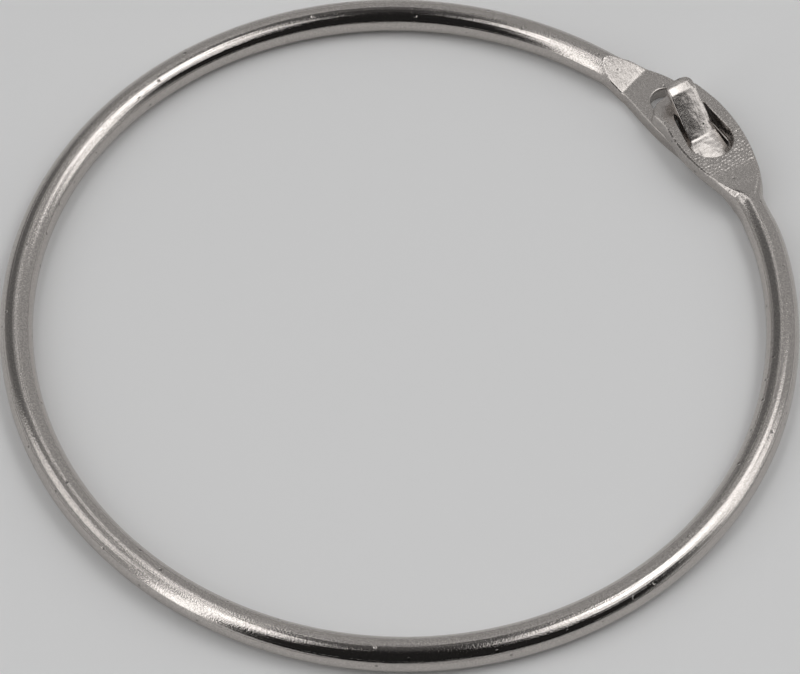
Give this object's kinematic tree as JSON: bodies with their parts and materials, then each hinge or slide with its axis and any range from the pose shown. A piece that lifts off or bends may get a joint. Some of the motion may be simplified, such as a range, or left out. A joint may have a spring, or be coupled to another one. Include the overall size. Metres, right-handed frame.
{
  "type": "quick-release ring",
  "caption": "Nickel-plated spring-wire ring whose flattened, lapped ends latch together with a pierced tongue through a slot.",
  "frame": {"origin": "centre of the ring's opening, on the plane that the ring lies flat on", "axes": "+Z square to the ring's plane, towards the side that the tongue hooks over; +Y from the centre towards the lapped joint"},
  "size_m": [0.0762, 0.0784, 0.0052],
  "materials": {
    "nickel": "satin"
  },
  "bodies": {
    "root": {"ring": "nickel"}
  },
  "joints": []
}
